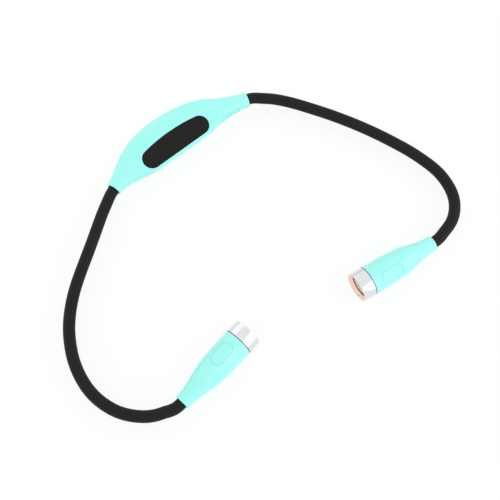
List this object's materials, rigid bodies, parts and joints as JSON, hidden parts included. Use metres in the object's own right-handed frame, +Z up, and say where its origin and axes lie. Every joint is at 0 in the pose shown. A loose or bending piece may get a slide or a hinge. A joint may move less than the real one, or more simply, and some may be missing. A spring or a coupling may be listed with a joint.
{
  "type": "neck reading light",
  "caption": "Flexible U-shaped reading light worn round the neck: a crescent battery housing carries bendable rubber-sleeved arms that end in flared lamp heads with push buttons.",
  "frame": {"origin": "middle of the flat base of the crescent housing, on the surface the light lies on", "axes": "+Z up from the surface, +X along the housing from the left arm's mouth to the right arm's, -Y the way the arms reach"},
  "size_m": [0.2709, 0.1882, 0.0198],
  "materials": {
    "turquoise_plastic": "high-gloss turquoise moulding",
    "turquoise_rubber": "soft turquoise moulding",
    "sleeve_rubber": "matt black, fine grained",
    "pad_rubber": "matt black, grained",
    "gooseneck_steel": "wound steel",
    "fastener_steel": "plated",
    "bezel_metal": "polished",
    "reflector_metal": "metallised",
    "clear_lens": "clear",
    "led_phosphor": "phosphor",
    "green_board": "solder mask",
    "white_board": "white mask",
    "black_plastic": "black",
    "battery_wrap": "foil wrap",
    "grey_foam": "open foam",
    "black_lead": "insulated lead",
    "red_lead": "insulated lead"
  },
  "bodies": {
    "housing": {"upper_shell": "turquoise_plastic", "lower_shell": "turquoise_plastic", "grip_pad": "pad_rubber", "battery_cell": "battery_wrap", "battery_foam": "grey_foam", "battery_lead_positive": "red_lead", "battery_lead_negative": "black_lead", "charge_board": "green_board", "charge_indicator_led": "white_board", "usb_socket": "fastener_steel", "case_screw_left": "fastener_steel", "case_screw_rear_left": "fastener_steel", "case_screw_rear_right": "fastener_steel", "case_screw_right": "fastener_steel", "left_sleeve_root": "sleeve_rubber", "left_root_ferrule": "gooseneck_steel", "right_sleeve_root": "sleeve_rubber", "right_root_ferrule": "gooseneck_steel", "left_arm_lead": "black_lead", "right_arm_lead": "black_lead"},
    "port_cover": {"port_cover": "turquoise_rubber"},
    "left_arm_inner": {"left_sleeve_inner": "sleeve_rubber", "left_core_inner": "gooseneck_steel"},
    "left_arm_middle": {"left_sleeve_middle": "sleeve_rubber", "left_core_middle": "gooseneck_steel"},
    "left_arm_outer": {"left_sleeve_outer": "sleeve_rubber", "left_core_outer": "gooseneck_steel"},
    "left_head": {"left_sleeve_head": "sleeve_rubber", "left_head_ferrule": "gooseneck_steel", "left_head_shell": "turquoise_plastic", "left_switch_board": "green_board", "left_tact_switch": "black_plastic", "left_led_board": "white_board", "left_led_emitter": "led_phosphor", "left_reflector": "reflector_metal", "left_lens": "clear_lens", "left_gasket": "pad_rubber", "left_bezel": "bezel_metal"},
    "left_button": {"left_button": "turquoise_plastic"},
    "right_arm_inner": {"right_sleeve_inner": "sleeve_rubber", "right_core_inner": "gooseneck_steel"},
    "right_arm_middle": {"right_sleeve_middle": "sleeve_rubber", "right_core_middle": "gooseneck_steel"},
    "right_arm_outer": {"right_sleeve_outer": "sleeve_rubber", "right_core_outer": "gooseneck_steel"},
    "right_head": {"right_sleeve_head": "sleeve_rubber", "right_head_ferrule": "gooseneck_steel", "right_head_shell": "turquoise_plastic", "right_switch_board": "green_board", "right_tact_switch": "black_plastic", "right_led_board": "white_board", "right_led_emitter": "led_phosphor", "right_reflector": "reflector_metal", "right_lens": "clear_lens", "right_gasket": "pad_rubber", "right_bezel": "bezel_metal"},
    "right_button": {"right_button": "turquoise_plastic"}
  },
  "joints": [
    {"name": "left_root_sway", "type": "hinge", "parent": "housing", "child": "left_arm_inner", "pos_m": [-0.06754, -0.01761, 0.00985], "axis": [0, 0, 1], "range_deg": [-40, 40], "deforming": ["left_arm_lead"]},
    {"name": "left_inner_lift", "type": "hinge", "parent": "left_arm_inner", "child": "left_arm_middle", "pos_m": [-0.10778, -0.04768, 0.00985], "axis": [-0.6157, 0.788, 0], "range_deg": [-40, 40]},
    {"name": "left_middle_sway", "type": "hinge", "parent": "left_arm_middle", "child": "left_arm_outer", "pos_m": [-0.13778, -0.08699, 0.00985], "axis": [0, 0, 1], "range_deg": [-40, 40]},
    {"name": "left_head_lift", "type": "hinge", "parent": "left_arm_outer", "child": "left_head", "pos_m": [-0.13477, -0.13129, 0.00985], "axis": [-0.8572, -0.515, 0], "range_deg": [-40, 40]},
    {"name": "left_button_press", "type": "slide", "parent": "left_head", "child": "left_button", "axis": [0.0212, -0.12, -0.9925], "range_m": [0, 0.00055], "stiffness_N_per_m": 1200},
    {"name": "right_root_sway", "type": "hinge", "parent": "housing", "child": "right_arm_inner", "pos_m": [0.06689, -0.01832, 0.00985], "axis": [0, 0, 1], "range_deg": [-40, 40], "deforming": ["right_arm_lead"]},
    {"name": "right_inner_lift", "type": "hinge", "parent": "right_arm_inner", "child": "right_arm_middle", "pos_m": [0.09565, -0.05926, 0.00985], "axis": [-0.8746, -0.4848, 0], "range_deg": [-40, 40]},
    {"name": "right_middle_sway", "type": "hinge", "parent": "right_arm_middle", "child": "right_arm_outer", "pos_m": [0.11606, -0.10509, 0.00985], "axis": [0, 0, 1], "range_deg": [-40, 40]},
    {"name": "right_head_lift", "type": "hinge", "parent": "right_arm_outer", "child": "right_head", "pos_m": [0.11789, -0.14983, 0.00985], "axis": [-0.9063, 0.4226, 0], "range_deg": [-40, 40]},
    {"name": "right_button_press", "type": "slide", "parent": "right_head", "child": "right_button", "axis": [0.0646, 0.526, -0.848], "range_m": [0, 0.00055], "stiffness_N_per_m": 1200},
    {"name": "port_cover_swing", "type": "hinge", "parent": "housing", "child": "port_cover", "pos_m": [0.04697, -0.01386, 0.00945], "axis": [0, 0, 1], "range_deg": [0, 100]}
  ]
}
